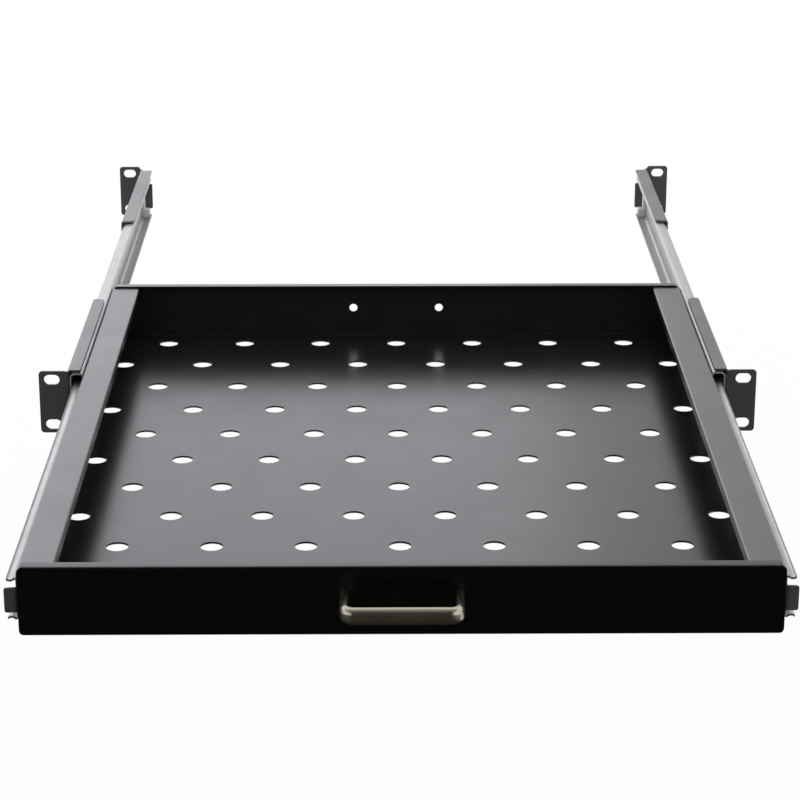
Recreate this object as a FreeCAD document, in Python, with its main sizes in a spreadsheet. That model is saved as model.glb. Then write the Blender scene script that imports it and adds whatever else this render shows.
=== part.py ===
import FreeCAD, Part
import math
import os
import re
import Sketcher

# Sliding shelf for a 19-inch rack, drawn as it stands pulled out on its two ball slides.
# X runs to the right, Y to the rear and Z up. The origin is the middle of the four front
# ear slots, on the face of the ears that meets the rack posts.

# Driving sizes in millimetres, apart from the counts: name, value, what it measures.
SIZES = (
    ("rack_hole_span", "465.1", "left to right between the rack's hole columns"),
    ("rack_hole_rise", "31.75", "first to last hole of one rack unit"),
    ("ear_slot_length", "10.5", "ear slot, end to end"),
    ("ear_slot_width", "7", "ear slot, across"),
    ("ear_slot_inset", "10.05", "slot centre to the outer face of the bracket"),
    ("ear_reach", "18.8", "ear edge beyond the outer face of the bracket"),
    ("ear_height", "43.6", "ear, top to bottom"),
    ("ear_corner", "2.5", "ear corner radius"),
    ("bracket_sheet", "1.5", "bracket sheet"),
    ("bracket_bend", "0.8", "inside radius of the bracket bends"),
    ("front_flange", "9", "top flange of a front bracket, with its sheet"),
    ("rear_flange", "10.4", "top flange of a rear bracket, with its sheet"),
    ("ear_relief", "0.4", "slit between the ear bend and the top flange"),
    ("plate_margin", "1.5", "bracket plate below the slide"),
    ("arm_corner", "5", "rounded end of a bracket arm"),
    ("front_arm_length", "165", "front bracket, ear face to arm end"),
    ("rear_arm_length", "182", "rear bracket, ear face to arm end"),
    ("rear_reach", "27", "end of the slide to the rear ear"),
    ("end_plate_inset", "12", "rear ear face to the turned-down flange end"),
    ("end_plate_gap", "0.5", "turned-down flange end to the bracket plate"),
    ("end_plate_step", "3.2", "neck of the turned-down flange end, in from the flange edge"),
    ("end_plate_shoulder", "8", "wide part of that end above the middle of the slide"),
    ("end_plate_corner", "1.5", "corner radius of the wide part"),
    ("end_plate_rise", "4", "turned-down flange end above the bottom of the slide"),
    ("arm_screw_inset", "35", "bracket screw to the end of its arm"),
    ("rail_screw_inset", "34", "rear bracket screw to the end of the slide"),
    ("adjust_length", "24", "travel of the rear bracket on its screws"),
    ("slide_height", "36", "slide, top to bottom"),
    ("slide_thickness", "10", "slide, tray wall to bracket"),
    ("slide_sheet", "1.2", "sheet of both slide members"),
    ("slide_bend", "0.9", "inside radius of the slide bends"),
    ("rail_corner", "2.4", "inside radius beside the web of the outer member"),
    ("slide_seat_gap", "0.8", "slide below the flange of its bracket"),
    ("slide_setback", "1", "front end of the outer member behind the ears"),
    ("slide_shortfall", "7", "outer member shorter than the tray"),
    ("lip_gap", "0.6", "lip of the outer member to the tray wall"),
    ("lip_drop", "2.7", "depth of that lip"),
    ("inner_setback", "2.6", "inner member behind the front of the tray"),
    ("race_depth", "1", "depth of the ball groove"),
    ("tab_reach", "7.7", "front tab of the inner member, out from the tray"),
    ("tab_height", "14.8", "front tab, top to bottom"),
    ("tab_corner", "1.4", "front tab corner radius"),
    ("ball_diameter", "5", "slide ball"),
    ("ball_clearance", "0.15", "ball to the race, each side"),
    ("ball_span", "20", "ball to ball along the slide"),
    ("ball_count", "5", "balls in one row"),
    ("cage_length", "112", "ball cage"),
    ("cage_sheet", "0.6", "ball cage sheet"),
    ("cage_gap", "0.7", "cage to the web of the outer member"),
    ("cage_edge_gap", "0.5", "cage to the tray wall"),
    ("stop_width", "5", "height of a lanced stop"),
    ("stop_offset", "2", "lanced stop above or below the middle of the slide"),
    ("stop_inset", "2", "lanced stop to the end of its member"),
    ("stop_overlap", "0.1", "lanced stop past the web of the cage"),
    ("stop_window", "7", "opening that a stop is lanced from"),
    ("bumper_length", "8", "rear bumper along the slide"),
    ("bumper_height", "7.2", "rear bumper above the lower flange"),
    ("bumper_back", "2.4", "upright part of the bumper, thickness"),
    ("bumper_rise", "18", "upright part of the bumper above the lower flange"),
    ("bumper_fit", "0.2", "bumper to the slide"),
    ("bumper_gap", "0.4", "closed inner member to the bumper"),
    ("bumper_peg", "4", "snap peg of the bumper, diameter"),
    ("shelf_pull", "334", "how far the tray is pulled out"),
    ("tray_depth", "537", "tray, front to rear"),
    ("tray_height", "41", "tray, floor to rim"),
    ("tray_drop", "19", "tray floor below the middle of the ear slots"),
    ("tray_sheet", "1.2", "tray sheet"),
    ("tray_bend", "0.5", "inside radius of the tray bends"),
    ("end_flange", "7.5", "top flange of the front and rear walls"),
    ("end_corner", "3.6", "corner radius of the front and rear walls"),
    ("side_flange", "20", "top flange of the side walls"),
    ("side_lip", "5.5", "turned-down lip of that flange"),
    ("lip_bend", "0.2", "inside radius where the lip turns down"),
    ("side_foot", "5", "foot of the side walls on the floor"),
    ("side_seam", "0.1", "side wall sheet to the bends of the end walls"),
    ("vent_diameter", "13.7", "vent hole in the floor"),
    ("vent_span", "56.4", "vent hole spacing, every way"),
    ("vent_side_margin", "12", "least distance from vent centre to the tray side"),
    ("vent_front_margin", "26.9", "first row of vents to the tray front"),
    ("vent_rear_margin", "18", "least distance from vent centre to the tray rear"),
    ("wall_hole", "6", "fixing hole in the rear wall, diameter"),
    ("wall_hole_span", "64", "between the two fixing holes"),
    ("handle_span", "64", "handle leg to handle leg"),
    ("handle_leg", "4.3", "handle leg, thickness"),
    ("handle_bar", "4.4", "handle bar, thickness"),
    ("handle_height", "9.8", "handle strip, top to bottom"),
    ("handle_reach", "27", "handle front beyond the tray"),
    ("handle_corner", "8.5", "outside radius of the handle bends"),
    ("handle_inner_corner", "4", "inside radius of the handle bends"),
    ("handle_edge", "3.6", "rounding of the outer handle edges"),
    ("handle_inner_edge", "0.5", "rounding of the inner handle edges"),
    ("handle_rise", "22.2", "handle and wall holes above the tray floor"),
    ("handle_screw", "3", "handle screw, diameter"),
    ("handle_grip", "9", "handle screw inside the leg"),
    ("handle_head", "5.6", "handle screw head, diameter"),
    ("handle_head_height", "2", "handle screw head, height"),
    ("screw_diameter", "4", "slide and bracket screws"),
    ("screw_head", "7.4", "their heads, diameter"),
    ("screw_head_height", "2.2", "their heads, height"),
    ("head_round", "0.9", "rounded edge of the screw heads"),
    ("screw_fit", "0.2", "hole wider than its screw"),
    ("screw_end", "0.6", "tray screw past its nut"),
    ("tray_screw_inset", "40", "tray screw to the end of the inner member"),
    ("tray_screw_count", "4", "screws between one slide and the tray"),
    ("nut_flats", "7", "nut across flats"),
    ("nut_height", "3.2", "nut height"),
)

# Sizes that follow from the driving ones: name and formula.
FITS = (
    ("bracket_face", "rack_hole_span / 2 - ear_slot_inset"),
    ("ear_edge", "bracket_face + ear_reach"),
    ("web_face", "bracket_face - bracket_sheet"),
    ("tray_half", "web_face - slide_thickness"),
    ("bracket_top", "ear_height / 2"),
    ("bracket_fold", "bracket_sheet + bracket_bend"),
    ("slide_z", "bracket_top - bracket_sheet - slide_seat_gap - slide_height / 2"),
    ("slide_bottom", "slide_z - slide_height / 2"),
    ("plate_bottom", "slide_bottom - plate_margin"),
    ("tray_bottom", "-tray_drop"),
    ("tray_top", "tray_height - tray_drop"),
    ("floor_top", "tray_bottom + tray_sheet"),
    ("side_top", "tray_top - tray_sheet"),
    ("tray_front", "-bracket_sheet - shelf_pull"),
    ("tray_rear", "tray_front + tray_depth"),
    ("tray_fold", "tray_sheet + tray_bend + side_seam"),
    ("slide_length", "tray_depth - slide_shortfall"),
    ("slide_rear", "slide_setback + slide_length"),
    ("rear_plane", "slide_rear + rear_reach"),
    ("rear_arm_start", "rear_plane + bracket_sheet - rear_arm_length"),
    ("inner_front", "tray_front + inner_setback"),
    ("inner_rear", "slide_rear - bumper_length - bumper_gap - shelf_pull"),
    ("ball_out", "lip_gap + slide_sheet + ball_diameter / 2"),
    ("ball_up", "slide_height / 2 - slide_sheet - ball_clearance - ball_diameter / 2"),
    ("race_radius", "ball_diameter / 2 + ball_clearance"),
    ("race_back", "race_radius + slide_sheet"),
    ("inner_up", "ball_up - race_radius + race_depth"),
    ("race_half", "sqrt(race_radius ^ 2 - (race_radius - race_depth) ^ 2)"),
    ("inner_tip", "ball_out + race_half"),
    ("tip_under", "ball_up - sqrt(race_back ^ 2 - race_half ^ 2)"),
    ("shoulder_under", "inner_up - slide_sheet"),
    ("shoulder_end", "ball_out - sqrt(race_back ^ 2 - (ball_up - shoulder_under) ^ 2)"),
    ("cage_out", "slide_thickness - slide_sheet - cage_gap"),
    ("cage_up", "ball_up + cage_sheet / 2"),
    ("cage_middle", "(slide_setback + inner_rear) / 2"),
    ("cage_front", "cage_middle - cage_length / 2"),
    ("closed_stop", "cage_middle + (shelf_pull + cage_length) / 2 + stop_inset"),
    ("first_ball", "cage_middle - ball_span * (ball_count - 1) / 2"),
    ("tray_screw_first", "inner_front + tray_screw_inset"),
    ("tray_screw_pitch",
     "(inner_rear - inner_front - 2 * tray_screw_inset) / (tray_screw_count - 1)"),
    ("front_screw_first", "arm_screw_inset - bracket_sheet"),
    ("front_screw_pitch", "front_arm_length - 2 * arm_screw_inset"),
    ("rear_screw_first", "rear_arm_start + arm_screw_inset"),
    ("rear_screw_pitch", "slide_rear - rail_screw_inset - rear_screw_first"),
    ("screw_hole", "screw_diameter + screw_fit"),
    ("bumper_floor", "slide_bottom + slide_sheet + bumper_fit"),
    ("bumper_face", "slide_thickness - slide_sheet - bumper_fit"),
    ("bumper_middle", "slide_rear - bumper_length / 2"),
    ("handle_half", "(handle_span + handle_leg) / 2"),
    ("handle_z", "tray_bottom + handle_rise"),
    ("vent_row_rise", "vent_span * sqrt(3) / 2"),
    ("vent_wide", "floor(2 * (tray_half - vent_side_margin) / vent_span) + 1"),
    ("vent_rows", "floor((tray_depth - vent_front_margin - vent_rear_margin) / vent_row_rise) + 1"),
    ("vent_first_row", "tray_front + vent_front_margin"),
)

SIDES = {"left": -1, "right": 1}
AXIS_OF_PLANE = {"XY_Plane": 1, "XZ_Plane": -1, "YZ_Plane": 1}
CUT_SLACK = 1

doc = FreeCAD.newDocument("sliding_rack_shelf")
bodies = []


def fill_sheet(name, rows):
    """Make a spreadsheet with one aliased cell for each row."""
    sheet = doc.addObject("Spreadsheet::Sheet", name)
    for line, row in enumerate(rows, start=1):
        sheet.set(f"A{line}", row[0])
        sheet.set(f"B{line}", row[1])
        sheet.setAlias(f"B{line}", row[0])
        sheet.set(f"C{line}", row[-1] if len(row) > 2 else "")
    doc.recompute()
    return sheet


home = {row[0]: "Sizes" for row in SIZES}


def full(text):
    """Write a formula with the sheet's name before each size."""
    return re.sub(r"[a-z_]+", lambda word: f"{home[word[0]]}.{word[0]}"
                  if word[0] in home else word[0], text)


fill_sheet("Sizes", SIZES)
home.update({row[0]: "Fits" for row in FITS})
fits = fill_sheet("Fits", [(name, "=" + full(text).replace("Fits.", "")) for name, text in FITS])


def number(text):
    """The present value of a formula."""
    return float(fits.evalExpression(full(text).replace("Fits.", "")))


def new_body(label):
    body = doc.addObject("PartDesign::Body", label)
    body.Label = label
    body.AllowCompound = True
    bodies.append(body)
    return body


def origin_feature(body, role):
    return next(item for item in body.Origin.OriginFeatures if item.Role == role)


def sketch_on(body, plane, level="0", shift=("0", "0")):
    """A sketch parallel to an origin plane, at a level on the axis across it."""
    sketch = body.newObject("Sketcher::SketchObject", f"{body.Label}_sketch")
    sketch.AttachmentSupport = [(origin_feature(body, plane), "")]
    sketch.MapMode = "FlatFace"
    base = (shift[0], shift[1], f"{AXIS_OF_PLANE[plane]} * ({level})")
    for letter, text in zip("xyz", base):
        sketch.setExpression(f"AttachmentOffset.Base.{letter}", full(text))
    doc.recompute()
    return sketch


def bind(sketch, constraint, text):
    index = sketch.addConstraint(constraint)
    sketch.setExpression(f"Constraints[{index}]", full(text))


def pin_point(sketch, geometry, place, point):
    """Tie one point of a sketch to its two formulas."""
    bind(sketch, Sketcher.Constraint("DistanceX", -1, 1, geometry, place, number(point[0])), point[0])
    bind(sketch, Sketcher.Constraint("DistanceY", -1, 1, geometry, place, number(point[1])), point[1])


def trace(sketch, runs):
    """Draw a closed loop of runs: (start, end) is straight, and an arc adds its centre, radius and turn."""
    first = sketch.GeometryCount
    ends = []
    for run in runs:
        start, end = (FreeCAD.Vector(number(point[0]), number(point[1]), 0) for point in run[:2])
        if len(run) == 2:
            sketch.addGeometry(Part.LineSegment(start, end), False)
            ends.append((1, 2))
            continue
        centre = FreeCAD.Vector(number(run[2][0]), number(run[2][1]), 0)
        turns_left = run[4]
        low, high = (start, end) if turns_left else (end, start)
        angles = [math.atan2(point.y - centre.y, point.x - centre.x) for point in (low, high)]
        circle = Part.Circle(centre, FreeCAD.Vector(0, 0, 1), number(run[3]))
        sketch.addGeometry(Part.ArcOfCircle(circle, angles[0], angles[1]), False)
        ends.append((1, 2) if turns_left else (2, 1))
    for index, run in enumerate(runs):
        following = (index + 1) % len(runs)
        sketch.addConstraint(Sketcher.Constraint(
            "Coincident", first + index, ends[index][1], first + following, ends[following][0]))
        pin_point(sketch, first + index, ends[index][0], run[0])
        if len(run) > 2:
            bind(sketch, Sketcher.Constraint("Radius", first + index, number(run[3])), run[3])


def step(text, sign, size):
    """A formula moved along its axis by a signed size."""
    return text if sign == 0 else f"({text}) {'+' if sign > 0 else '-'} ({size})"


def heading(start, end):
    """The direction of a run along one axis, as two signs."""
    moves = [number(b) - number(a) for a, b in zip(start[:2], end[:2])]
    return tuple(0 if abs(move) < 1e-9 else int(math.copysign(1, move)) for move in moves)


def outline(sketch, corners):
    """A closed loop of square corners, each (x, y) or (x, y, radius)."""
    runs = []
    count = len(corners)
    joints = []
    for index, corner in enumerate(corners):
        into = heading(corners[index - 1], corner)
        out = heading(corner, corners[(index + 1) % count])
        if len(corner) == 2:
            joints.append((corner, corner, None))
            continue
        radius = corner[2]
        enter = tuple(step(corner[axis], -into[axis], radius) for axis in (0, 1))
        leave = tuple(step(corner[axis], out[axis], radius) for axis in (0, 1))
        centre = tuple(step(step(corner[axis], -into[axis], radius), out[axis], radius) for axis in (0, 1))
        turns_left = into[0] * out[1] - into[1] * out[0] > 0
        joints.append((enter, leave, (centre, radius, turns_left)))
    for index, (enter, leave, arc) in enumerate(joints):
        if arc:
            runs.append((enter, leave, *arc))
        runs.append((leave, joints[(index + 1) % count][0]))
    trace(sketch, runs)


def strip(path, sheet, bend, on_left):
    """The outline of a folded sheet, from the square path of one of its faces.

    A point of the path may carry its own bend as a third entry.
    """
    turn = 1 if on_left else -1
    moves = [heading(a, b) for a, b in zip(path, path[1:])]
    normals = [(-turn * move[1], turn * move[0]) for move in moves]
    near, far = [], []
    for index, point in enumerate(path):
        if index in (0, len(path) - 1):
            normal = normals[0] if index == 0 else normals[-1]
            near.append(point)
            far.append(tuple(step(point[axis], normal[axis], sheet) for axis in (0, 1)))
            continue
        before, after = moves[index - 1], moves[index]
        shift = [normals[index - 1][axis] + normals[index][axis] for axis in (0, 1)]
        across = tuple(step(point[axis], shift[axis], sheet) for axis in (0, 1))
        folds_in = turn * (before[0] * after[1] - before[1] * after[0]) > 0
        tight = point[2] if len(point) > 2 else bend
        wide = f"{tight} + {sheet}"
        near.append((*point[:2], wide if folds_in else tight))
        far.append((*across, tight if folds_in else wide))
    return near + far[::-1]


def box(left, right, low, high, radius=None):
    """The corners of a rectangle, going round to the left."""
    corners = ((left, low), (right, low), (right, high), (left, high))
    return [(*corner, radius) if radius else corner for corner in corners]


def circle(sketch, x, y, diameter):
    middle = FreeCAD.Vector(number(x), number(y), 0)
    shape = Part.Circle(middle, FreeCAD.Vector(0, 0, 1), number(diameter) / 2)
    index = sketch.addGeometry(shape, False)
    pin_point(sketch, index, 3, (x, y))
    bind(sketch, Sketcher.Constraint("Diameter", index, number(diameter)), diameter)


def slot(sketch, x, y, length, width):
    """A round-ended slot lying along the sketch's first axis."""
    half = (number(length) - number(width)) / 2
    radius = number(width) / 2
    middle = FreeCAD.Vector(number(x), number(y), 0)
    up = FreeCAD.Vector(0, 0, 1)
    ends = [middle + FreeCAD.Vector(sign * half, 0, 0) for sign in (-1, 1)]
    low = FreeCAD.Vector(0, -radius, 0)
    first = sketch.addGeometry(Part.LineSegment(ends[0] + low, ends[1] + low), False)
    sketch.addGeometry(Part.ArcOfCircle(Part.Circle(ends[1], up, radius), -math.pi / 2, math.pi / 2), False)
    sketch.addGeometry(Part.LineSegment(ends[1] - low, ends[0] - low), False)
    sketch.addGeometry(
        Part.ArcOfCircle(Part.Circle(ends[0], up, radius), math.pi / 2, 3 * math.pi / 2), False)
    for index in range(4):
        following = first + (index + 1) % 4
        sketch.addConstraint(Sketcher.Constraint("Tangent", first + index, 2, following, 1))
    sketch.addConstraint(Sketcher.Constraint("Equal", first + 1, first + 3))
    sketch.addConstraint(Sketcher.Constraint("Horizontal", first))
    pin_point(sketch, first + 3, 3, (f"{x} - ({length} - {width}) / 2", y))
    bind(sketch, Sketcher.Constraint("DistanceX", first + 3, 3, first + 1, 3, 2 * half),
         f"{length} - {width}")
    bind(sketch, Sketcher.Constraint("Radius", first + 1, radius), f"({width}) / 2")


def pad(body, sketch, length, backwards=False, both_ways=False):
    feature = body.newObject("PartDesign::Pad", f"{body.Label}_pad")
    feature.Profile = sketch
    feature.setExpression("Length", full(length))
    feature.Reversed = backwards
    feature.SideType = "Symmetric" if both_ways else "One side"
    doc.recompute()
    return feature


def pocket(body, sketch, depth, backwards=False):
    """Cut a sketch into the body, and make sure that it cuts."""
    before = body.Shape.Volume
    feature = body.newObject("PartDesign::Pocket", f"{body.Label}_pocket")
    feature.Profile = sketch
    feature.setExpression("Length", full(depth))
    feature.Reversed = backwards
    doc.recompute()
    if body.Shape.Volume > before - 1e-6:
        raise RuntimeError(f"{feature.Label} cuts nothing")
    return feature


def spin(body, sketch, axis):
    feature = body.newObject("PartDesign::Revolution", f"{body.Label}_spin")
    feature.Profile = sketch
    feature.ReferenceAxis = (sketch, [axis])
    feature.Angle = 360
    doc.recompute()
    return feature


def repeat(body, features, along, spacing, count, across=None):
    """Repeat features along one origin axis, or two where across gives (axis, spacing, count)."""
    pattern = body.newObject("PartDesign::LinearPattern", f"{body.Label}_pattern")
    pattern.Originals = features
    pattern.Direction = (origin_feature(body, along), [""])
    pattern.Mode = "Spacing"
    pattern.setExpression("Offset", full(spacing))
    pattern.setExpression("Occurrences", full(count))
    if across:
        pattern.Direction2 = (origin_feature(body, across[0]), [""])
        pattern.Mode2 = "Spacing"
        pattern.setExpression("Offset2", full(across[1]))
        pattern.setExpression("Occurrences2", full(across[2]))
        pattern.Spacings2 = [-1.0] * (int(number(across[2])) - 1)
    body.Tip = pattern
    doc.recompute()
    return pattern


def round_edges(body, radius, wanted):
    """Fillet the edges of the body for which wanted(edge) is true."""
    names = [f"Edge{index}" for index, edge in enumerate(body.Shape.Edges, start=1) if wanted(edge)]
    if not names:
        raise RuntimeError(f"no edge to round on {body.Label}")
    shaped = body.Tip
    feature = body.newObject("PartDesign::Fillet", f"{body.Label}_fillet")
    feature.Base = (shaped, names)
    feature.setExpression("Radius", full(radius))
    doc.recompute()
    return feature


def lies_at(edge, axis, **place):
    """True for a straight edge along an axis at the given places on the other axes."""
    if len(edge.Vertexes) != 2 or not isinstance(edge.Curve, Part.Line):
        return False
    span = edge.Vertexes[1].Point - edge.Vertexes[0].Point
    if abs(getattr(span, axis)) < span.Length - 1e-6:
        return False
    return all(abs(getattr(edge.CenterOfMass, name) - number(text)) < 1e-4 for name, text in place.items())


def out(side, text):
    """A place to the left or right, from its distance out from the middle."""
    return f"{side} * ({text})"


# The tray: one folded sheet for the floor and both end walls, and a folded sheet for each side wall.

def make_tray_base():
    body = new_body("tray_base")
    section = sketch_on(body, "YZ_Plane")
    outline(section, strip((
        ("tray_front + end_flange", "tray_top"),
        ("tray_front", "tray_top"),
        ("tray_front", "tray_bottom"),
        ("tray_rear", "tray_bottom"),
        ("tray_rear", "tray_top"),
        ("tray_rear - end_flange", "tray_top"),
    ), "tray_sheet", "tray_bend", True))
    pad(body, section, "2 * tray_half", both_ways=True)
    for end, inward in (("tray_front", False), ("tray_rear", True)):
        corners = sketch_on(body, "XZ_Plane", end)
        outline(corners, box(f"-tray_half - {CUT_SLACK}", f"tray_half + {CUT_SLACK}",
                             f"tray_bottom - {CUT_SLACK}", f"tray_top + {CUT_SLACK}"))
        outline(corners, box("-tray_half", "tray_half", "tray_bottom", "tray_top", "end_corner"))
        pocket(body, corners, "end_flange", inward)
        holes = sketch_on(body, "XZ_Plane", end)
        bore = "wall_hole" if inward else "handle_screw + screw_fit"
        spacing = "wall_hole_span" if inward else "handle_span"
        for side in SIDES.values():
            circle(holes, out(side, f"{spacing} / 2"), "handle_z", bore)
        pocket(body, holes, "tray_sheet", inward)
    wide = "vent_wide"
    for row, holes_in_row, rows in ((0, f"{wide} - 1", "ceil(vent_rows / 2)"),
                                    (1, wide, "floor(vent_rows / 2)")):
        vent = sketch_on(body, "XY_Plane", "tray_bottom")
        circle(vent, f"-vent_span * ({holes_in_row} - 1) / 2",
               f"vent_first_row + {row} * vent_row_rise", "vent_diameter")
        cut = pocket(body, vent, "tray_sheet", True)
        repeat(body, [cut], "X_Axis", "vent_span", holes_in_row,
               ("Y_Axis", "2 * vent_row_rise", rows))


def make_tray_side(name, side):
    body = new_body(f"tray_side_{name}")
    section = sketch_on(body, "XZ_Plane", "tray_front + tray_fold")
    outline(section, strip((
        (out(side, "tray_half - side_foot"), "floor_top"),
        (out(side, "tray_half"), "floor_top"),
        (out(side, "tray_half"), "side_top"),
        (out(side, "tray_half - side_flange"), "side_top", "lip_bend"),
        (out(side, "tray_half - side_flange"), "side_top - side_lip"),
    ), "tray_sheet", "tray_bend", side > 0))
    pad(body, section, "tray_depth - 2 * tray_fold", True)
    wall = sketch_on(body, "XZ_Plane", "tray_front + tray_sheet")
    outline(wall, box(out(side, "tray_half"), out(side, "tray_half - tray_sheet"),
                      "floor_top + tray_fold", "side_top - tray_fold"))
    pad(body, wall, "tray_depth - 2 * tray_sheet", True)
    holes = sketch_on(body, "YZ_Plane", out(side, "tray_half"))
    circle(holes, "tray_screw_first", "slide_z", "screw_hole")
    cut = pocket(body, holes, "tray_sheet", side < 0)
    repeat(body, [cut], "Y_Axis", "tray_screw_pitch", "tray_screw_count")


# The bow handle on the front wall.

def make_handle():
    body = new_body("pull_handle")
    plan = sketch_on(body, "XY_Plane", "handle_z")
    front, back = "tray_front - handle_reach", "tray_front"
    inner_front = f"{front} + handle_bar"
    outer, inner = "handle_half", "handle_half - handle_leg"
    outline(plan, (
        (f"-({outer})", back),
        (f"-({outer})", front, "handle_corner"),
        (outer, front, "handle_corner"),
        (outer, back),
        (inner, back),
        (inner, inner_front, "handle_inner_corner"),
        (f"-({inner})", inner_front, "handle_inner_corner"),
        (f"-({inner})", back),
    ))
    pad(body, plan, "handle_height", both_ways=True)
    level = [number(f"handle_z + {sign} * handle_height / 2") for sign in (-1, 1)]
    wall = number(back) - 1e-6

    def on_rim(edge):
        flat = edge.BoundBox.ZLength < 1e-6
        at_rim = min(abs(edge.CenterOfMass.z - z) for z in level) < 1e-6
        return flat and at_rim and edge.BoundBox.YMin < wall

    def on_outside(edge):
        span = edge.BoundBox
        beside = max(-span.XMin, span.XMax) > number(outer) - 1e-6
        return on_rim(edge) and (beside or span.YMin < number(front) + 1e-6)

    def on_inside(edge):
        span = edge.BoundBox
        between = max(-span.XMin, span.XMax) < number(inner) + 1e-6
        return on_rim(edge) and between and span.YMin > number(inner_front) - 1e-6

    round_edges(body, "handle_edge", on_outside)
    round_edges(body, "handle_inner_edge", on_inside)
    threads = sketch_on(body, "XZ_Plane", "tray_front")
    for side in SIDES.values():
        circle(threads, out(side, "handle_span / 2"), "handle_z", "handle_screw + screw_fit")
    pocket(body, threads, "handle_grip + screw_fit", True)


# Screws and nuts.

def screw_profile(sketch, tip, seat, top, shank, head, upright):
    """Half of a round-headed screw, beside the axis that it is spun round."""
    corners = [(tip, "0"), (tip, f"{shank} / 2"), (seat, f"{shank} / 2"), (seat, f"{head} / 2"),
               (top, f"{head} / 2", "head_round"), (top, "0")]
    if upright:
        corners = [(corner[1], corner[0], *corner[2:]) for corner in corners]
    outline(sketch, corners)


def make_handle_screws():
    body = new_body("handle_screws")
    seat = "tray_front + tray_sheet"
    half = sketch_on(body, "XY_Plane", "handle_z", ("-handle_span / 2", "0"))
    screw_profile(half, "tray_front - handle_grip", seat, f"{seat} + handle_head_height",
                  "handle_screw", "handle_head", True)
    screw = spin(body, half, "V_Axis")
    repeat(body, [screw], "X_Axis", "handle_span", "2")


def make_screw_row(label, side, seat, tip, first, pitch, count):
    """Screws with outward heads, in a row along the middle of the slide."""
    body = new_body(label)
    half = sketch_on(body, "XY_Plane", "slide_z", ("0", first))
    screw_profile(half, out(side, tip), out(side, seat), out(side, f"{seat} + screw_head_height"),
                  "screw_diameter", "screw_head", False)
    screw = spin(body, half, "H_Axis")
    repeat(body, [screw], "Y_Axis", pitch, count)


def make_tray_nuts(name, side):
    body = new_body(f"tray_nuts_{name}")
    seat = out(side, "tray_half - tray_sheet")
    plan = sketch_on(body, "YZ_Plane", seat, ("tray_screw_first", "slide_z"))
    flat, half_flat, point = "nut_flats / 2", "nut_flats / (2 * sqrt(3))", "nut_flats / sqrt(3)"
    ring = [(flat, f"-{half_flat}"), (flat, half_flat), ("0", point),
            (f"-{flat}", half_flat), (f"-{flat}", f"-{half_flat}"), ("0", f"-{point}")]
    trace(plan, list(zip(ring, ring[1:] + ring[:1])))
    circle(plan, "0", "0", "screw_hole")
    nut = pad(body, plan, "nut_height", side > 0)
    repeat(body, [nut], "Y_Axis", "tray_screw_pitch", "tray_screw_count")


# The ball slides.

def web_point(side, across):
    """A place on the slide from its distance out from the tray wall."""
    return out(side, f"tray_half + {across}")


def cut_web_holes(body, side, face, depth, rows):
    """Screw holes through a web: rows of (first, pitch, count) along the middle of the slide."""
    for first, pitch, count in rows:
        hole = sketch_on(body, "YZ_Plane", web_point(side, face))
        circle(hole, first, "slide_z", "screw_hole")
        cut = pocket(body, hole, depth, side < 0)
        repeat(body, [cut], "Y_Axis", pitch, count)


def make_stop(body, side, root, tip, start, sign, window_start):
    """A tongue lanced out of a web, beside the opening that it came from."""
    low = f"slide_z + {sign} * (stop_offset + stop_width / 2) - stop_width / 2"
    high = f"{low} + stop_width"
    window = sketch_on(body, "YZ_Plane", out(side, root[1]))
    outline(window, box(window_start, f"{window_start} + stop_window", low, high))
    pocket(body, window, "slide_sheet", side < 0)
    tongue = sketch_on(body, "XY_Plane", low)
    across = sorted((out(side, root[0]), out(side, tip)), key=number)
    outline(tongue, box(across[0], across[1], start, f"{start} + slide_sheet"))
    pad(body, tongue, "stop_width")


def make_outer_member(name, side):
    body = new_body(f"outer_member_{name}")
    section = sketch_on(body, "XZ_Plane", "slide_setback")
    lip, web = web_point(side, "lip_gap"), out(side, "web_face")
    top, bottom = "slide_z + slide_height / 2", "slide_bottom"
    outline(section, strip((
        (lip, f"{bottom} + lip_drop"), (lip, bottom), (web, bottom, "rail_corner"),
        (web, top, "rail_corner"), (lip, top), (lip, f"{top} - lip_drop"),
    ), "slide_sheet", "slide_bend", side > 0))
    pad(body, section, "slide_length", True)
    cut_web_holes(body, side, "slide_thickness", "slide_sheet", (
        ("front_screw_first", "front_screw_pitch", "2"),
        ("rear_screw_first", "rear_screw_pitch", "2"),
    ))
    peg_hole = sketch_on(body, "YZ_Plane", web)
    circle(peg_hole, "bumper_middle", "bumper_floor + bumper_rise / 2", "bumper_peg + bumper_fit")
    pocket(body, peg_hole, "slide_sheet", side < 0)
    tip = "tray_half + cage_out - cage_sheet - stop_overlap"
    root = ("web_face", "web_face")
    front_stop = "slide_setback + stop_inset"
    make_stop(body, side, root, tip, front_stop, 1, f"{front_stop} + slide_sheet")
    make_stop(body, side, root, tip, "closed_stop", 1, "closed_stop + slide_sheet")


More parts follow.
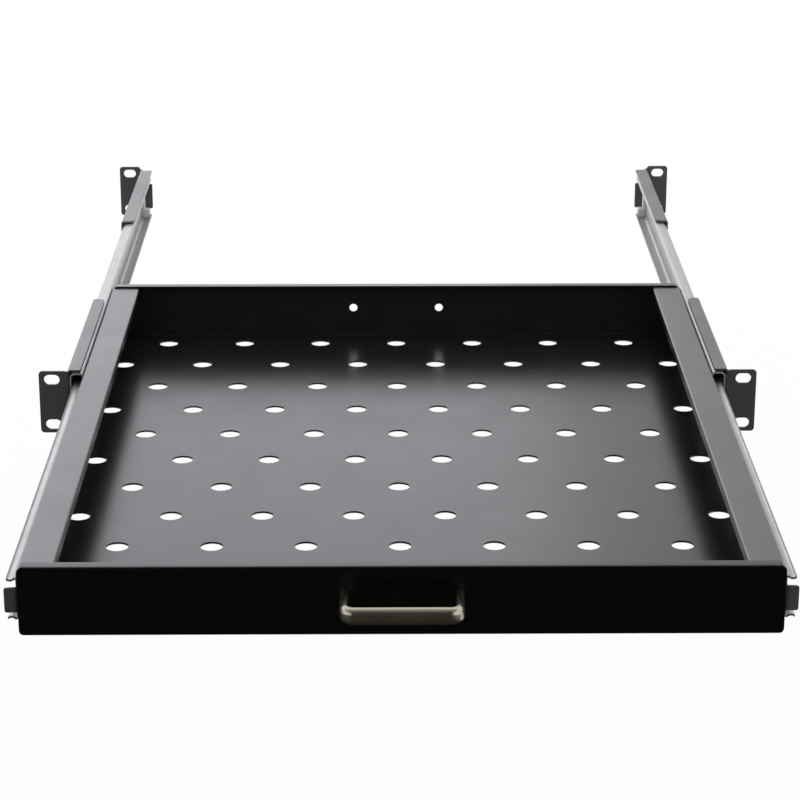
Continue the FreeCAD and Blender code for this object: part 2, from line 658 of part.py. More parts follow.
def make_inner_member(name, side):
    body = new_body(f"inner_member_{name}")
    section = sketch_on(body, "XZ_Plane", "inner_front + slide_sheet + slide_bend")
    heel = "slide_sheet + slide_bend"

    def upper(across, up):
        return (web_point(side, across), f"slide_z + {up}")

    def lower(across, up):
        return (web_point(side, across), f"slide_z - ({up})")

    def race(place, start, end, radius, turns_left):
        return (start, end, place("ball_out", "ball_up"), radius, turns_left)

    def half(place, leftward):
        """The upper or lower race, from the tray side out over the tip and back to the web."""
        groove = place("ball_out - race_half", "inner_up")
        tip = place("inner_tip", "inner_up")
        under_tip = place("inner_tip", "tip_under")
        shoulder = place("shoulder_end", "shoulder_under")
        heel_side = place("0", f"inner_up - ({heel})")
        heel_top = place(heel, "inner_up")
        heel_centre = place(heel, f"inner_up - ({heel})")
        return [
            (heel_side, heel_top, heel_centre, heel, not leftward),
            (heel_top, groove),
            race(place, groove, tip, "race_radius", leftward),
            (tip, under_tip),
            race(place, under_tip, shoulder, "race_back", not leftward),
            (shoulder, place("slide_sheet", "shoulder_under")),
        ]

    top = half(upper, side > 0)
    bottom = [(run[1], run[0], *run[2:4], not run[4]) if len(run) > 2 else (run[1], run[0])
              for run in reversed(half(lower, side < 0))]
    trace(section, top + [(top[-1][1], bottom[0][0])] + bottom + [(bottom[-1][1], top[0][0])])
    pad(body, section, "inner_rear - inner_front - slide_sheet - slide_bend", True)
    fold = sketch_on(body, "XY_Plane", "slide_z - tab_height / 2")
    outline(fold, strip((
        (web_point(side, "0"), f"inner_front + 2 * ({heel})"),
        (web_point(side, "0"), "inner_front"),
        (web_point(side, "tab_reach"), "inner_front"),
    ), "slide_sheet", "slide_bend", side > 0))
    pad(body, fold, "tab_height")
    tab_edge = web_point(side, "tab_reach")
    round_edges(body, "tab_corner", lambda edge: lies_at(edge, "y", x=tab_edge))
    cut_web_holes(body, side, "slide_sheet", "slide_sheet", (
        ("tray_screw_first", "tray_screw_pitch", "tray_screw_count"),
    ))
    tongue = "inner_rear - stop_inset - slide_sheet"
    make_stop(body, side, ("tray_half", "tray_half + slide_sheet"), "tray_half + cage_out", tongue, -1,
              f"{tongue} - stop_window")


def make_ball_cage(name, side):
    body = new_body(f"ball_cage_{name}")
    section = sketch_on(body, "XZ_Plane", "cage_front")
    edge, back = web_point(side, "cage_edge_gap"), web_point(side, "cage_out")
    outline(section, strip((
        (edge, "slide_z - cage_up"), (back, "slide_z - cage_up"),
        (back, "slide_z + cage_up"), (edge, "slide_z + cage_up"),
    ), "cage_sheet", "cage_sheet", side > 0))
    pad(body, section, "cage_length", True)
    seat = sketch_on(body, "XY_Plane", "slide_z + cage_up")
    circle(seat, web_point(side, "ball_out"), "first_ball", "2 * race_radius")
    cut = pocket(body, seat, "2 * cage_up")
    repeat(body, [cut], "Y_Axis", "ball_span", "ball_count")


def make_balls(name, side):
    body = new_body(f"slide_balls_{name}")
    ball = body.newObject("PartDesign::AdditiveSphere", f"{body.Label}_ball")
    ball.AttachmentSupport = [(origin_feature(body, "XY_Plane"), "")]
    ball.MapMode = "FlatFace"
    ball.setExpression("Radius", full("ball_diameter / 2"))
    for letter, text in zip("xyz", (web_point(side, "ball_out"), "first_ball", "slide_z - ball_up")):
        ball.setExpression(f"AttachmentOffset.Base.{letter}", full(text))
    doc.recompute()
    repeat(body, [ball], "Y_Axis", "ball_span", "ball_count", ("Z_Axis", "2 * ball_up", "2"))


def make_bumper(name, side):
    body = new_body(f"rear_bumper_{name}")
    section = sketch_on(body, "XZ_Plane", "slide_rear - bumper_length")
    toe, face = web_point(side, "lip_gap + slide_sheet + bumper_fit"), web_point(side, "bumper_face")
    upright = web_point(side, "bumper_face - bumper_back")
    outline(section, (
        (toe, "bumper_floor"), (face, "bumper_floor", "rail_corner"), (face, "bumper_floor + bumper_rise"),
        (upright, "bumper_floor + bumper_rise"), (upright, "bumper_floor + bumper_height"),
        (toe, "bumper_floor + bumper_height", "bumper_back / 2"),
    ))
    pad(body, section, "bumper_length", True)
    peg = sketch_on(body, "YZ_Plane", face)
    circle(peg, "bumper_middle", "bumper_floor + bumper_rise / 2", "bumper_peg")
    pad(body, peg, "slide_sheet + bumper_fit", side < 0)


# The brackets that carry the slides in the rack.

def make_bracket(label, side, is_front):
    body = new_body(label)
    ahead = 1 if is_front else -1
    ear_face = "-bracket_sheet" if is_front else "rear_plane + bracket_sheet"
    arm_length = "front_arm_length" if is_front else "rear_arm_length"
    flange = "front_flange" if is_front else "rear_flange"
    flange_start = "bracket_fold + ear_relief" if is_front else "end_plate_inset + bracket_fold"

    def along(local):
        return f"{ear_face} {'+' if is_front else '-'} ({local})"

    face, web = out(side, "bracket_face"), out(side, "web_face")
    flange_edge = out(side, f"bracket_face - {flange}")
    arm = sketch_on(body, "XZ_Plane", along(flange_start))
    outline(arm, strip((
        (face, "plate_bottom"), (face, "bracket_top"), (flange_edge, "bracket_top"),
    ), "bracket_sheet", "bracket_bend", side > 0))
    pad(body, arm, f"{arm_length} - ({flange_start})", is_front)

    shoulder = "bracket_top - bracket_fold"
    folds = [("plate_bottom", shoulder, f"{flange_start} + bracket_fold")]
    if is_front:
        folds.append((shoulder, "bracket_top - ear_relief", flange_start))
    for low, high, fold_end in folds:
        fold = sketch_on(body, "XY_Plane", low)
        outline(fold, strip((
            (web, along(fold_end)), (web, ear_face),
            (out(side, "bracket_face + 2 * bracket_fold"), ear_face),
        ), "bracket_sheet", "bracket_bend", side * ahead > 0))
        pad(body, fold, f"{high} - ({low})")

    ear = sketch_on(body, "XZ_Plane", ear_face)
    root, edge = out(side, "bracket_face + bracket_bend"), out(side, "ear_edge")
    root_round = () if is_front else ("ear_corner",)
    outline(ear, ((root, "-bracket_top", *root_round), (edge, "-bracket_top", "ear_corner"),
                  (edge, "bracket_top", "ear_corner"), (root, "bracket_top", *root_round)))
    pad(body, ear, "bracket_sheet", is_front)
    slots = sketch_on(body, "XZ_Plane", ear_face)
    for sign in (-1, 1):
        slot(slots, out(side, "rack_hole_span / 2"), out(sign, "rack_hole_rise / 2"),
             "ear_slot_length", "ear_slot_width")
    pocket(body, slots, "bracket_sheet", not is_front)

    if not is_front:
        end_plate = sketch_on(body, "YZ_Plane", out(side, f"bracket_face - {flange} + end_plate_step"))
        outline(end_plate, strip((
            (along(f"{flange_start} + bracket_fold"), "bracket_top"),
            (along("end_plate_inset"), "bracket_top"),
            (along("end_plate_inset"), "slide_bottom + end_plate_rise"),
        ), "bracket_sheet", "bracket_bend", False))
        pad(body, end_plate, f"{flange} - end_plate_step - bracket_sheet - end_plate_gap", side < 0)
        wide = sketch_on(body, "XZ_Plane", along("end_plate_inset"))
        across = sorted((flange_edge, out(side, "web_face - end_plate_gap")), key=number)
        outline(wide, box(*across, "slide_bottom + end_plate_rise", "slide_z + end_plate_shoulder",
                          "end_plate_corner"))
        pad(body, wide, "bracket_sheet")

    arm_end = along(arm_length)
    round_edges(body, "arm_corner", lambda edge: lies_at(edge, "z", x=flange_edge, y=arm_end)
                or lies_at(edge, "x", z="plate_bottom", y=arm_end))
    holes = sketch_on(body, "YZ_Plane", face)
    if is_front:
        for count in (0, 1):
            circle(holes, f"front_screw_first + {count} * front_screw_pitch", "slide_z", "screw_hole")
    else:
        slot(holes, "rear_screw_first + rear_screw_pitch / 2", "slide_z",
             "rear_screw_pitch + adjust_length + screw_hole", "screw_hole")
    pocket(body, holes, "bracket_sheet", side < 0)


make_tray_base()
make_handle()
make_handle_screws()
for name, side in SIDES.items():
    make_tray_side(name, side)
    make_inner_member(name, side)
    make_screw_row(f"tray_screws_{name}", side, "tray_half + slide_sheet",
                   "tray_half - tray_sheet - nut_height - screw_end",
                   "tray_screw_first", "tray_screw_pitch", "tray_screw_count")
    make_tray_nuts(name, side)
    make_outer_member(name, side)
    make_ball_cage(name, side)
    make_balls(name, side)
    make_bumper(name, side)
    for place, is_front in (("front", True), ("rear", False)):
        make_bracket(f"{place}_bracket_{name}", side, is_front)
        make_screw_row(f"{place}_bracket_screws_{name}", side, "bracket_face", "web_face - slide_sheet",
                       f"{place}_screw_first", f"{place}_screw_pitch", "2")

doc.recompute()
for item in doc.Objects:
    if {"Invalid", "Error"} & set(item.State):
        raise RuntimeError(f"{item.Label} failed: {item.State}")
for body in bodies:
    if body.Shape.isNull() or not body.Shape.isValid():
        raise RuntimeError(f"{body.Label} has no sound shape")

os.makedirs("parts", exist_ok=True)
for body in bodies:
    body.Shape.exportStep(f"parts/{body.Label}.step")
    print(f"{body.Label}: {len(body.Shape.Solids)} solids, {body.Shape.Volume:.0f} mm3")
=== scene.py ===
# %% [markdown]
# # A sliding rack shelf
# The shelf comes from CAD as a imported model: one node for each piece of sheet, slide or fastener, already in
# its place and in metres. This lesson dresses it for a picture. The folded sheet keeps its CAD shape and only
# gets soft bends and a finish, and the screws and nuts are modelled anew, because their small details show in
# close views.

# %% Load the imported shelf
import math

import bmesh
import bpy
from mathutils import Matrix, Vector


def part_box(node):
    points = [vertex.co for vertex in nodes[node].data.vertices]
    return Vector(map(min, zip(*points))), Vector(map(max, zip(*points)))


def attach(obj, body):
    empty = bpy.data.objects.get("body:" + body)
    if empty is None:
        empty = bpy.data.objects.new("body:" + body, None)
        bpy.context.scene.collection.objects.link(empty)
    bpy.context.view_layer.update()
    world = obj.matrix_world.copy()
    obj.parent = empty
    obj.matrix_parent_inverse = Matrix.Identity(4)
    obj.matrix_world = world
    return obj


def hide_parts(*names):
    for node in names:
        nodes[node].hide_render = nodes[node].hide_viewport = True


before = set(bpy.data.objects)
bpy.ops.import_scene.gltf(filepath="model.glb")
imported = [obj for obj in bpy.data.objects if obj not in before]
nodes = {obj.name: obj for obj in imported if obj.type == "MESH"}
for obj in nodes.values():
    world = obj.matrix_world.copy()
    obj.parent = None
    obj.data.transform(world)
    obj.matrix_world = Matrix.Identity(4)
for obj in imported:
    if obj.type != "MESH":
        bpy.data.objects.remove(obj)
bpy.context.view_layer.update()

# %% [markdown]
# ## Soft bends on the folded sheet
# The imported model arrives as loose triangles, so each facet of a bend catches the light by itself. Merging
# the corners and shading them smooth would cure it by hand in Edit Mode. A small Geometry Nodes modifier
# does the same without touching the mesh: it merges by distance, shades everything smooth, and keeps an
# edge sharp wherever two faces meet at more than the given angle.

# %% A modifier that smooths the bends
SHARP_FROM = math.radians(38)
MERGE_WITHIN = 2e-6


def make_bend_smoother():
    group = bpy.data.node_groups.new("smooth_bends", "GeometryNodeTree")
    group.interface.new_socket("Geometry", in_out="INPUT", socket_type="NodeSocketGeometry")
    group.interface.new_socket("Geometry", in_out="OUTPUT", socket_type="NodeSocketGeometry")
    start = group.nodes.new("NodeGroupInput")
    end = group.nodes.new("NodeGroupOutput")
    merge = group.nodes.new("GeometryNodeMergeByDistance")
    merge.inputs["Distance"].default_value = MERGE_WITHIN
    smooth = group.nodes.new("GeometryNodeSetShadeSmooth")
    smooth.domain = "FACE"
    crease = group.nodes.new("GeometryNodeSetShadeSmooth")
    crease.domain = "EDGE"
    crease.inputs["Shade Smooth"].default_value = False
    angle = group.nodes.new("GeometryNodeInputMeshEdgeAngle")
    wide = group.nodes.new("FunctionNodeCompare")
    wide.operation = "GREATER_THAN"
    wide.inputs["B"].default_value = SHARP_FROM
    link = group.links.new
    link(start.outputs["Geometry"], merge.inputs["Geometry"])
    link(merge.outputs["Geometry"], smooth.inputs["Geometry"])
    link(smooth.outputs["Geometry"], crease.inputs["Geometry"])
    link(angle.outputs["Unsigned Angle"], wide.inputs["A"])
    link(wide.outputs["Result"], crease.inputs["Selection"])
    link(crease.outputs["Geometry"], end.inputs["Geometry"])
    return group


bend_smoother = make_bend_smoother()
for node in nodes.values():
    node.modifiers.new("smooth_bends", "NODES").node_group = bend_smoother
print("smooth bends on", len(nodes), "nodes")

# %% [markdown]
# ## Finishes
# Every finish is a Principled shader fed by noise on Object coordinates, so that the grain has a real size
# in millimetres and stays put when the shelf moves. Image textures would do too, but they need a UV map and a
# file. Small helpers keep the node trees short: one makes a noise field, one turns it into a range of numbers,
# and one into a range of colours. Most of a noise field lies between 0.3 and 0.7, so the ranges run from there.

# %% Helpers for the node trees
MM = 0.001
NOISE_LOW, NOISE_HIGH = 0.3, 0.7
EDGE_SAMPLES = 4


def new_finish(name, **numbers):
    """A material with its numbers set on the Principled shader's own sockets."""
    material = bpy.data.materials.new(name)
    material.use_nodes = True
    shader = material.node_tree.nodes["Principled BSDF"]
    for socket, number in numbers.items():
        shader.inputs[socket.replace("_", " ")].default_value = number
    return material, material.node_tree, shader


def noise_field(tree, grain, detail=2.0):
    """Noise whose grain is given in metres along X, Y and Z."""
    place = tree.nodes.new("ShaderNodeTexCoord")
    stretch = tree.nodes.new("ShaderNodeMapping")
    noise = tree.nodes.new("ShaderNodeTexNoise")
    stretch.inputs["Scale"].default_value = [1 / size for size in grain]
    noise.inputs["Scale"].default_value = 1
    noise.inputs["Detail"].default_value = detail
    tree.links.new(place.outputs["Object"], stretch.inputs["Vector"])
    tree.links.new(stretch.outputs["Vector"], noise.inputs["Vector"])
    return noise.outputs["Fac"]


def number_range(tree, field, low, high):
    spread = tree.nodes.new("ShaderNodeMapRange")
    spread.inputs["From Min"].default_value = NOISE_LOW
    spread.inputs["From Max"].default_value = NOISE_HIGH
    spread.inputs["To Min"].default_value = low
    spread.inputs["To Max"].default_value = high
    tree.links.new(field, spread.inputs["Value"])
    return spread.outputs["Result"]


def colour_range(tree, field, dark, pale):
    ramp = tree.nodes.new("ShaderNodeValToRGB")
    for element, place, colour in zip(ramp.color_ramp.elements, (NOISE_LOW, NOISE_HIGH), (dark, pale)):
        element.position = place
        element.color = (*colour, 1)
    tree.links.new(field, ramp.inputs["Fac"])
    return ramp.outputs["Color"]


def add_relief(tree, shader, field, height, strength, edge_radius):
    """Fine bumps, with the sharp sheet edges softened by a small radius."""
    edge = tree.nodes.new("ShaderNodeBevel")
    edge.samples = EDGE_SAMPLES
    edge.inputs["Radius"].default_value = edge_radius
    bump = tree.nodes.new("ShaderNodeBump")
    bump.inputs["Distance"].default_value = height
    bump.inputs["Strength"].default_value = strength
    tree.links.new(field, bump.inputs["Height"])
    tree.links.new(edge.outputs["Normal"], bump.inputs["Normal"])
    tree.links.new(bump.outputs["Normal"], shader.inputs["Normal"])


print("noise is spread from", NOISE_LOW, "to", NOISE_HIGH)

# %% [markdown]
# ## Black powder coat
# The tray and the brackets are sprayed with powder and baked. The coat is deep black and satin, with the
# faint pebbling that painters call orange peel, about a millimetre and a half from bump to bump. A flat
# glossy black would show a hard mirror line of the rear wall on the floor, so the gloss is spread by the
# roughness and broken up a little by the relief. Four coats differ in depth and gloss. The side pieces get a
# slightly paler copy of the tray coat with a higher IOR, a painted sheen for their brighter flanges, and the rear
# brackets a paler copy of the front bracket coat, painted light on their ears.

# %% Make the powder coats
PEEL_SIZE, CLOUD_SIZE, SPECK_SIZE = 1.6 * MM, 35 * MM, 0.35 * MM
PEEL_HEIGHT, PEEL_STRENGTH = 0.02 * MM, 0.5
COAT_EDGE = 0.35 * MM


def make_powder_coat(name, dark, pale, ior, rough):
    material, tree, shader = new_finish(name, IOR=ior)
    peel = noise_field(tree, (PEEL_SIZE,) * 3, 1.0)
    cloud = noise_field(tree, (CLOUD_SIZE,) * 3, 3.0)
    speck = noise_field(tree, (SPECK_SIZE,) * 3, 0.0)
    tree.links.new(colour_range(tree, speck, dark, pale), shader.inputs["Base Color"])
    tree.links.new(number_range(tree, cloud, *rough), shader.inputs["Roughness"])
    add_relief(tree, shader, peel, PEEL_HEIGHT, PEEL_STRENGTH, COAT_EDGE)
    return material


tray_coat = make_powder_coat("tray_powder_coat", (0.0004,) * 3, (0.0012, 0.0012, 0.001), 1.52, (0.22, 0.26))
# Painted sheen: a slightly paler copy of the tray coat with a higher IOR, so the side flanges reflect more light
side_coat_painted_sheen = make_powder_coat("side_powder_coat", (0.001,) * 3, (0.002, 0.002, 0.0018), 1.92, (0.29, 0.34))
front_coat = make_powder_coat("front_bracket_coat", (0.04, 0.04, 0.041), (0.052, 0.052, 0.053),
                              1.8, (0.32, 0.38))
# Painted light: a paler copy of the front bracket coat, so the rear ears look lighter
rear_coat_painted_light = make_powder_coat("rear_bracket_coat", (0.07, 0.07, 0.071), (0.086, 0.086, 0.087),
                             1.75, (0.34, 0.4))
print("powder coats:", tray_coat.name, side_coat_painted_sheen.name, front_coat.name, rear_coat_painted_light.name)

# %% [markdown]
# The inside of the tray looks a shade less black than its outer front, most of all at the rear wall, from the
# light that reaches it there. That light is painted into the colour. A second material slot would do for a mesh
# made in Blender, but the imported mesh stays as it is. Here a mix of two colours runs from the front of the tray
# to its rear, by the Y of the Object coordinates, paler towards the rear: painted light.

# %% Paint light inside the tray
# Painted light: the paler colours for the inside of the tray, most of all the rear wall
INSIDE_PAINTED_DARK, INSIDE_PAINTED_PALE = (0.0115, 0.0115, 0.0117), (0.0145, 0.0145, 0.0148)
TRAY_FRONT, TRAY_REAR = (corner.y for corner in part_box("tray_base"))


def split_place(tree):
    """The Object coordinates as three numbers."""
    place = tree.nodes.new("ShaderNodeTexCoord")
    split = tree.nodes.new("ShaderNodeSeparateXYZ")
    tree.links.new(place.outputs["Object"], split.inputs["Vector"])
    return split.outputs


def paint_light_inside(material):
    tree = material.node_tree
    base = tree.nodes["Principled BSDF"].inputs["Base Color"]
    outside = base.links[0].from_socket
    speck = noise_field(tree, (SPECK_SIZE,) * 3, 0.0)
    how_far = tree.nodes.new("ShaderNodeMapRange")
    how_far.inputs["From Min"].default_value = TRAY_FRONT
    how_far.inputs["From Max"].default_value = TRAY_REAR
    blend = tree.nodes.new("ShaderNodeMix")
    blend.data_type = "RGBA"
    colours = [socket for socket in blend.inputs if socket.type == "RGBA"]
    tree.links.new(split_place(tree)["Y"], how_far.inputs["Value"])
    tree.links.new(how_far.outputs["Result"], blend.inputs["Factor"])
    tree.links.new(outside, colours[0])
    tree.links.new(colour_range(tree, speck, INSIDE_PAINTED_DARK, INSIDE_PAINTED_PALE), colours[1])
    mixed = [socket for socket in blend.outputs if socket.type == "RGBA"]
    tree.links.new(mixed[0], base)


paint_light_inside(tray_coat)
# Painted light runs over this span: the colour pales from the front of the tray to its rear
print("coat thins out from y =", round(TRAY_FRONT, 4), "to", round(TRAY_REAR, 4), "m")

# %% [markdown]
# ## Zinc, nickel and steel
# The slide channels are rolled from zinc-plated strip, so their faint lines run along the slide. The outer
# channels stay pale inside, where pure metal would turn dark in their shade, so Metallic is lower there, the
# zinc a little paler, and a part of their light is scattered: this is painted light. The handle is satin nickel,
# brushed along its bar. All use the same recipe: noise stretched along one axis drives the colour, the roughness
# and a very shallow relief. The screws have even grain, and the balls are polished.

# %% Make the metals
ALONG_SLIDE = (0.5 * MM, 60 * MM, 0.5 * MM)
ALONG_BAR = (30 * MM, 0.25 * MM, 0.25 * MM)
PATCH_SIZE = 18 * MM
LINE_HEIGHT, LINE_STRENGTH = 0.004 * MM, 0.4
STRIP_EDGE, FINE_EDGE = 0.4 * MM, 0.2 * MM


def make_drawn_metal(name, dark, pale, rough, grain, edge=FINE_EDGE, metallic=1.0):
    material, tree, shader = new_finish(name, Metallic=metallic)
    lines = noise_field(tree, grain, 3.0)
    cloud = noise_field(tree, (PATCH_SIZE,) * 3, 2.0)
    tree.links.new(colour_range(tree, lines, dark, pale), shader.inputs["Base Color"])
    tree.links.new(number_range(tree, cloud, *rough), shader.inputs["Roughness"])
    add_relief(tree, shader, lines, LINE_HEIGHT, LINE_STRENGTH, edge)
    return material


zinc = make_drawn_metal("zinc_plate", (0.405, 0.405, 0.402), (0.48, 0.48, 0.472), (0.36, 0.45),
                        ALONG_SLIDE, STRIP_EDGE)
# Painted light: a paler, less metallic copy of the zinc for the outer channels, so their insides stay pale
rail_zinc = make_drawn_metal("rail_zinc", (0.435, 0.435, 0.43), (0.505, 0.505, 0.495), (0.38, 0.46),
                             ALONG_SLIDE, STRIP_EDGE, 0.6)
nickel = make_drawn_metal("satin_nickel", (0.48, 0.445, 0.365), (0.57, 0.53, 0.44), (0.26, 0.34),
                          ALONG_BAR)
screw_zinc = make_drawn_metal("screw_zinc", (0.5, 0.5, 0.48), (0.64, 0.64, 0.61), (0.28, 0.42),
                              (0.8 * MM,) * 3)
ball_steel = make_drawn_metal("ball_steel", (0.66, 0.66, 0.66), (0.74, 0.74, 0.74), (0.06, 0.12),
                              (2 * MM,) * 3)
print("metals:", zinc.name, rail_zinc.name, nickel.name, screw_zinc.name, ball_steel.name)

# %% [markdown]
# The bumpers at the rear end of the rails are moulded nylon, pale and a little see-through. Subsurface gives
# that waxy look at a small weight, and the mould leaves a fine even grain.

# %% Make the nylon
NYLON_DARK, NYLON_PALE = (0.62, 0.62, 0.59), (0.7, 0.7, 0.67)
NYLON_ROUGH = (0.42, 0.55)
NYLON_GRAIN = 0.5 * MM
NYLON_HEIGHT, NYLON_STRENGTH, NYLON_EDGE = 0.01 * MM, 0.3, 0.3 * MM


def make_nylon():
    material, tree, shader = new_finish("pale_nylon", IOR=1.53, Subsurface_Weight=0.15)
    grain = noise_field(tree, (NYLON_GRAIN,) * 3, 2.0)
    tree.links.new(colour_range(tree, grain, NYLON_DARK, NYLON_PALE), shader.inputs["Base Color"])
    tree.links.new(number_range(tree, grain, *NYLON_ROUGH), shader.inputs["Roughness"])
    add_relief(tree, shader, grain, NYLON_HEIGHT, NYLON_STRENGTH, NYLON_EDGE)
    return material


nylon = make_nylon()
print("plastic:", nylon.name)

# %% [markdown]
# ## A finish for every piece
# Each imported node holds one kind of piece, so one material slot per node is enough. By hand it is a click in
# the Material tab for each of them. Left and right pieces share a finish, and the table below names it once.

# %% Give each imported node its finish
FINISH_OF = {
    "tray_base": tray_coat,
    "tray_side": side_coat_painted_sheen,
    "front_bracket": front_coat,
    "rear_bracket": rear_coat_painted_light,
    "pull_handle": nickel,
    "handle_screws": screw_zinc,
    "inner_member": zinc,
    "outer_member": rail_zinc,
    "ball_cage": zinc,
    "slide_balls": ball_steel,
    "rear_bumper": nylon,
    "tray_screws": screw_zinc,
    "tray_nuts": screw_zinc,
    "front_bracket_screws": screw_zinc,
    "rear_bracket_screws": screw_zinc,
}
for name, node in nodes.items():
    kind = name.removesuffix("_left").removesuffix("_right")
    node.data.materials.clear()
    node.data.materials.append(FINISH_OF[kind])
print("finished nodes:", len(nodes))

# %% [markdown]
# ## Screws and nuts
# The brackets, the slides and the handle are held by pan-head screws with a cross recess. One screw starts as
# a short closed cylinder, which is its head. The rim is bevelled round, the underside is inset and pushed down
# into the shank, and the top is sliced into a plus that is pushed in with a taper, as a punch does it. By hand
# that is Bevel, Inset, Extrude and the Knife in Edit Mode. Each screw is made upright at the origin, where the
# slices run square to the axes, and then copied to its places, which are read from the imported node.

# %% Helpers for the fasteners
LEVEL_WITHIN, LEVEL_NORMAL = 1e-7, 0.99


def new_object(name, build, material):
    """Link an object whose mesh is what build makes of an empty bmesh."""
    shape = bmesh.new()
    build(shape)
    mesh = bpy.data.meshes.new(name)
    shape.to_mesh(mesh)
    shape.free()
    mesh.materials.append(material)
    piece = bpy.data.objects.new(name, mesh)
    bpy.context.scene.collection.objects.link(piece)
    return piece


def only_verts(parts):
    return [part for part in parts if isinstance(part, bmesh.types.BMVert)]


def level_faces(shape, height, up):
    """The flat faces at a height that look up (1) or down (-1)."""
    shape.normal_update()
    return [face for face in shape.faces
            if abs(face.calc_center_median().z - height) < LEVEL_WITHIN
            and face.normal.z * up > LEVEL_NORMAL]


def extrude_faces(shape, faces):
    """Extrude faces as one region and give the new corners. With its edges given too, the old region goes."""
    edges = {edge for face in faces for edge in face.edges}
    return only_verts(bmesh.ops.extrude_face_region(shape, geom=[*faces, *edges])["geom"])


def copy_to(shape, places):
    """Repeat what the bmesh holds at every place, each a matrix."""
    first = [*shape.verts, *shape.edges, *shape.faces]
    for place in places[1:]:
        copy = bmesh.ops.duplicate(shape, geom=first)["geom"]
        bmesh.ops.transform(shape, matrix=place, verts=only_verts(copy))
    bmesh.ops.transform(shape, matrix=places[0], verts=only_verts(first))


def stand_at(point, axis):
    """The matrix that stands an upright shape on a point, along an axis."""
    return Matrix.Translation(point) @ Vector(axis).to_track_quat("Z", "Y").to_matrix().to_4x4()


print("fastener helpers are ready")

# %% Shape one screw
HEAD_SIDES = 32
HEAD_ROUND, HEAD_STEPS = 0.9 * MM, 5
TIP_CHAMFER = 0.12
CROSS_WIDTH, CROSS_REACH, CROSS_DEPTH = 0.16, 0.54, 0.45
CROSS_TAPER = 0.55


def slice_top(shape, top, axis, place, within):
    """Cut the top faces whose middle lies within a distance of the other axis."""
    faces = [face for face in level_faces(shape, top, 1)
             if abs(face.calc_center_median()[1 - axis]) < within]
    parts = {part for face in faces for part in (face, *face.edges, *face.verts)}
    across = Vector((1 - axis, axis, 0))
    bmesh.ops.bisect_plane(shape, geom=list(parts), plane_co=across * place, plane_no=across)


def cut_cross(shape, head, top):
    half_width, half_reach = head * CROSS_WIDTH / 2, head * CROSS_REACH / 2
    for axis in (0, 1):
        for sign in (-1, 1):
            slice_top(shape, top, axis, sign * half_width, head)
    for axis in (0, 1):
        for sign in (-1, 1):
            slice_top(shape, top, axis, sign * half_reach, half_width)
    plus = []
    for face in level_faces(shape, top, 1):
        near, far = sorted(abs(value) for value in face.calc_center_median().xy)
        if near < half_width and far < half_reach:
            plus.append(face)
    pushed = extrude_faces(shape, plus)
    bmesh.ops.translate(shape, vec=(0, 0, -CROSS_DEPTH * top), verts=pushed)
    bmesh.ops.scale(shape, vec=(CROSS_TAPER, CROSS_TAPER, 1), verts=pushed)


def build_screw(shape, head, height, shank, length):
    """A pan-head screw that stands on the underside of its head."""
    bmesh.ops.create_cone(shape, cap_ends=True, segments=HEAD_SIDES, radius1=head / 2, radius2=head / 2,
                          depth=height, matrix=Matrix.Translation((0, 0, height / 2)))
    rim = [edge for face in level_faces(shape, height, 1) for edge in face.edges]
    bmesh.ops.bevel(shape, geom=rim, offset=HEAD_ROUND, offset_type="OFFSET", segments=HEAD_STEPS,
                    profile=0.5, affect="EDGES", material=-1)
    under = level_faces(shape, 0, -1)
    bmesh.ops.inset_individual(shape, faces=under, thickness=(head - shank) / 2)
    tip = extrude_faces(shape, under)
    bmesh.ops.translate(shape, vec=(0, 0, -length), verts=tip)
    end = [edge for face in level_faces(shape, -length, -1) for edge in face.edges]
    bmesh.ops.bevel(shape, geom=end, offset=TIP_CHAMFER * shank, offset_type="OFFSET", segments=1,
                    profile=0.5, affect="EDGES", material=-1)
    cut_cross(shape, head, height)


print("a screw head has", HEAD_SIDES, "sides and a round of", HEAD_ROUND / MM, "mm")

# %% [markdown]
# A nut is cut from hexagon bar, and a cutter takes its corners off at thirty degrees, which leaves a curved
# line on each flat. Four points along each flat are enough to show it: the hexagon's edges are subdivided,
# extruded upwards, and every point drops by as much as it stands outside the round of the cutter. The ring for
# the washer face and the two for the bore are circles with as many points, joined with Bridge Edge Loops.

# %% Shape one nut
FLAT_CUTS = 3
RING_POINTS = 6 * (FLAT_CUTS + 1)
CUTTER_SLOPE = math.tan(math.radians(30))
WASHER_FACE = 0.48


def circle_ring(shape, radius, height):
    """The edges of a circle with as many points as the nut's hexagon."""
    verts = bmesh.ops.create_circle(shape, cap_ends=False, radius=radius, segments=RING_POINTS,
                                    matrix=Matrix.Translation((0, 0, height)))["verts"]
    return list({edge for vert in verts for edge in vert.link_edges})


def build_nut(shape, flats, height, bore):
    """A chamfered nut that stands on its lower face."""
    bmesh.ops.create_circle(shape, cap_ends=False, radius=flats / math.sqrt(3), segments=6)
    bmesh.ops.subdivide_edges(shape, edges=shape.edges[:], cuts=FLAT_CUTS)
    low_ring = shape.edges[:]
    raised = bmesh.ops.extrude_edge_only(shape, edges=low_ring)["geom"]
    for vert in only_verts(raised):
        vert.co.z = height - max(0, vert.co.xy.length - flats / 2) * CUTTER_SLOPE
    top_ring = [part for part in raised if isinstance(part, bmesh.types.BMEdge)]
    rings = [top_ring, circle_ring(shape, flats * WASHER_FACE, height), circle_ring(shape, bore / 2, height),
             circle_ring(shape, bore / 2, 0), low_ring]
    for ring, following in zip(rings, rings[1:]):
        bmesh.ops.bridge_loops(shape, edges=ring + following)
    bmesh.ops.recalc_face_normals(shape, faces=shape.faces[:])


print("a nut has", RING_POINTS, "points round each ring")

# %% [markdown]
# The screws along a slide sit in one row, evenly spaced, and so do the nuts behind them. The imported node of
# each row gives its two ends, so the row is measured there instead of being typed in again. One object holds a
# whole row, as identical fasteners are kept together. It rides on the body that its row is screwed to, and
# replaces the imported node, which is then hidden.

